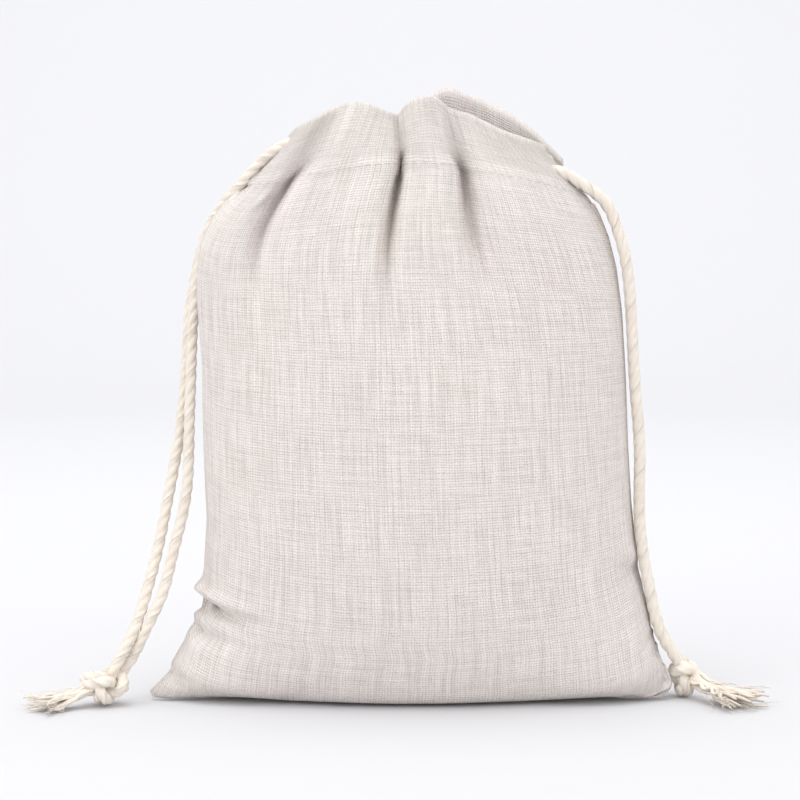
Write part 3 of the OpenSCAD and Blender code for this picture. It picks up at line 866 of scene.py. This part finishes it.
def bend_with_rim(piece):
    """Bakes a piece's transform into its points."""
    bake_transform(piece)


front_cloth = panel_object("front_cloth", front_grid, True)
back_cloth = panel_object("back_cloth", back_grid, False)
for cloth_piece, side_name, sign in ((front_cloth, "front", -1.0), (back_cloth, "back", 1.0)):
    bend_with_rim(cloth_piece)
    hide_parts(side_name + "_panel", side_name + "_casing")

# ---------------------------------------------------------------------------
# The cords inside the casings. Each cord runs along one casing, turns back at
# the far slit and returns along the other; the left cord lies above the right.
# ---------------------------------------------------------------------------

upper_run_points = np.array([
    (-0.0262, 0.0061, 0.1691), (-0.0180, 0.0060, 0.1703), (-0.0090, 0.0060, 0.1710), (0.0, 0.0060, 0.1712),
    (0.0090, 0.0060, 0.1709), (0.0180, 0.0061, 0.1696), (0.0270, 0.0062, 0.1668), (0.0365, 0.0063, 0.1630),
])
lower_run_points = np.array([
    (-0.0365, 0.0066, 0.1603), (-0.0270, 0.0066, 0.1638), (-0.0180, 0.0065, 0.1659),
    (-0.0090, 0.0065, 0.1671), (0.0, 0.0065, 0.1674), (0.0090, 0.0065, 0.1670), (0.0180, 0.0066, 0.1655),
    (0.0262, 0.0066, 0.1631),
])
for side_name, sign in (("front", -1.0), ("back", 1.0)):
    for cord_side, run_points in (("left", upper_run_points), ("right", lower_run_points)):
        mirrored = run_points * np.array([1.0, sign, 1.0])
        piece, _, _ = cord_strand(f"{cord_side}_{side_name}_run_in_casing", mirrored)
        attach(piece, side_name + "_rim")
        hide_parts(f"{cord_side}_cord_{side_name}_run")

left_turn_points = [
    (0.0369, -0.0063, 0.1628), (0.0386, -0.0058, 0.1623), (0.0403, -0.0040, 0.1620), (0.0410, 0.0, 0.1618),
    (0.0403, 0.0040, 0.1620), (0.0386, 0.0058, 0.1623), (0.0369, 0.0063, 0.1628),
]
right_turn_points = [
    (-0.0369, -0.0066, 0.1600), (-0.0388, -0.0062, 0.1592), (-0.0412, -0.0044, 0.1582),
    (-0.0424, 0.0, 0.1578), (-0.0412, 0.0044, 0.1582), (-0.0388, 0.0062, 0.1592), (-0.0369, 0.0066, 0.1600),
]
for cord_side, turn_points in (("left", left_turn_points), ("right", right_turn_points)):
    piece, _, _ = cord_strand(cord_side + "_cord_turn", turn_points)
    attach(piece, "pouch")
    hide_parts(cord_side + "_cord_return")

# ---------------------------------------------------------------------------
# The seams. The pouch is sewn inside out and turned, so the raw edges stand
# inside it: two layers of cloth, a lockstitch along the seam line and an
# overlock thread looped round the raw edge.
# ---------------------------------------------------------------------------

seam_inset = 0.0031
allowance_depth = 0.0072
seam_thread_radius = 0.00022


def thread_material():
    """Polyester sewing thread: a fine two-ply twist with a slight shine, its colour painted darker in the
    grooves between plies as painted shade.
    """
    n = Nodes("sewing_thread")
    along, around = n.uv()
    ply = n.math("SINE", n.math("ADD", n.math("MULTIPLY", around, 9000.0), n.math("MULTIPLY", along, 9000.0)))
    # Painted shade: the colour is darker in the grooves between the two plies and lighter on their crests
    height = n.math("ADD", n.math("MULTIPLY", ply, 0.5), 0.5)
    shade = n.ramp(height, [(0.0, (0.82, 0.76, 0.72)), (1.0, (0.96, 0.92, 0.89))])
    n.bump(ply, 0.00006, 0.6)
    return n.finish(shade, 0.55, 0.1)


thread = thread_material()


def thread_tube(name, path, radius=seam_thread_radius):
    """A fine thread along an array of points."""
    off_axis = np.array([0.12, 0.34, 0.93])
    points, uv = rope_surface(path, arc_length(path), radius, 0.0016, 6, off_axis, plies=2)
    return capped_tube(name, points, uv, thread)


def even_path(points, step):
    """The same line with its points a step apart."""
    run = arc_length(points)
    wanted = np.arange(0.0, run[-1], step)
    return read_line(wanted, run, points), wanted


def seam_allowance(name, edge, inward, node):
    """The two raw edges beside a seam, the lockstitch through them and the overlock loops round them."""
    line, run = even_path(edge, 0.0004)
    line = soften(line, 12)
    ripple = 0.0005 * np.sin(run / 0.011) + 0.0003 * np.sin(run / 0.0047 + 1.0)
    sideways = np.array([0.0, 1.0, 0.0])
    coarse = line[::5]
    across = np.linspace(0.0009, allowance_depth, 9)
    wave = ripple[::5, None, None] * (across / allowance_depth)[None, :, None] ** 2
    strip = coarse[:, None] + inward * across[None, :, None] + sideways * wave
    cloth_strip = mesh_object(name + "_allowance", strip.reshape(-1, 3), grid_faces(*strip.shape[:2]))
    set_uv(cloth_strip, np.stack(np.broadcast_arrays(across[None, :], run[::5, None]), -1).reshape(-1, 2))
    layers = cloth_strip.modifiers.new("Two layers", "SOLIDIFY")
    layers.thickness = 0.0011
    layers.offset = 0.0
    cloth_strip.data.materials.append(weave)
    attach(cloth_strip, "pouch")
    # The lockstitch shows on one face, then the other, through holes 2.5 mm apart
    pass_through = np.tanh(4.0 * np.sin(2 * np.pi * run / 0.005))
    stitch = line + inward * seam_inset + sideways * (0.00078 * pass_through[:, None])
    lockstitch = thread_tube(name + "_lockstitch", stitch)
    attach(lockstitch, "pouch")
    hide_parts(node + "_seam_thread")
    # Overlock: a loop every 2.2 mm that goes round the raw edge and slants back across both faces
    loop = 2 * np.pi * run / 0.0022
    reach = allowance_depth - 0.0016 + 0.0021 * np.sin(loop)
    round_edge = (0.00092 * np.cos(loop) * (1 - 0.55 * np.maximum(0.0, np.sin(loop)) ** 4)
                  + ripple * (reach / allowance_depth) ** 2)
    loops = line + inward * reach[:, None] + sideways * round_edge[:, None]
    overlock = thread_tube(name + "_overlock_thread", loops, 0.00020)
    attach(overlock, "pouch")
    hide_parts(node + "_overlock")


# Each side seam runs from just above the base seam to the slit
neck_line = 2 * neck_row
for side_name, column, inward in (("left", 0, 1.0), ("right", -1, -1.0)):
    side_edge = front_grid[5:neck_line - 1, column]
    seam_allowance(side_name + "_side", side_edge, np.array([inward, 0.0, 0.0]), side_name)
base_edge = front_grid[0] + np.array([0.0, 0.0, 0.0006])
seam_allowance("base", base_edge[8:-8], np.array([0.0, 0.0, 1.0]), "bottom")

# ---------------------------------------------------------------------------
# The casing stitches. One row of lockstitch holds each casing's turned-down
# edge, a little above its foot, and dips between the pleats with the cloth.
# ---------------------------------------------------------------------------

for side_name, grid, sign in (("front", front_grid, -1.0), ("back", back_grid, 1.0)):
    line, run = even_path(grid[neck_line + 2, 3:-3], 0.0003)
    outward = unit(np.cross(np.gradient(line, axis=0), np.array([0.0, 0.0, 1.0]))) * -sign
    dip = 0.00022 * np.tanh(5.0 * (np.sin(2 * np.pi * run / 0.0029) + 0.60)) - 0.00010
    stitches = thread_tube(side_name + "_casing_lockstitch", line + outward * dip[:, None], 0.00013)
    bend_with_rim(stitches)
    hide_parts(side_name + "_casing_stitch")

# ---------------------------------------------------------------------------
# The bartacks: dense zigzag stitches across each side seam, just where the slit
# for the cords begins, so that the seam can't tear.
# ---------------------------------------------------------------------------

bartack_length = 0.0042
zigzags = 11
for side_name, column, sign in (("left", 0, -1.0), ("right", -1, 1.0)):
    slit_foot = neck_line - 2
    beside = int(column - 3 * sign)
    corner = front_grid[slit_foot, column]
    down = unit(front_grid[neck_line - 10, column] - corner)
    to_front = 0.7 * (front_grid[slit_foot, beside] - corner)
    to_back = 0.7 * (back_grid[slit_foot, beside] - corner)
    turn = np.linspace(0.0, 1.0, 360)[:, None]
    zigzag = 2 * np.arcsin(np.sin(2 * np.pi * turn * zigzags)) / np.pi
    over = corner + np.where(zigzag < 0, -zigzag * to_front, zigzag * to_back)
    bow = 0.0004 * (1 - zigzag**2)
    tack = over + down * (turn * bartack_length) + np.array([sign, 0.0, 0.25]) * bow
    bartack = thread_tube(side_name + "_slit_tack", tack, 0.00023)
    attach(bartack, "pouch")
    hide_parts(side_name + "_slit_bartack")
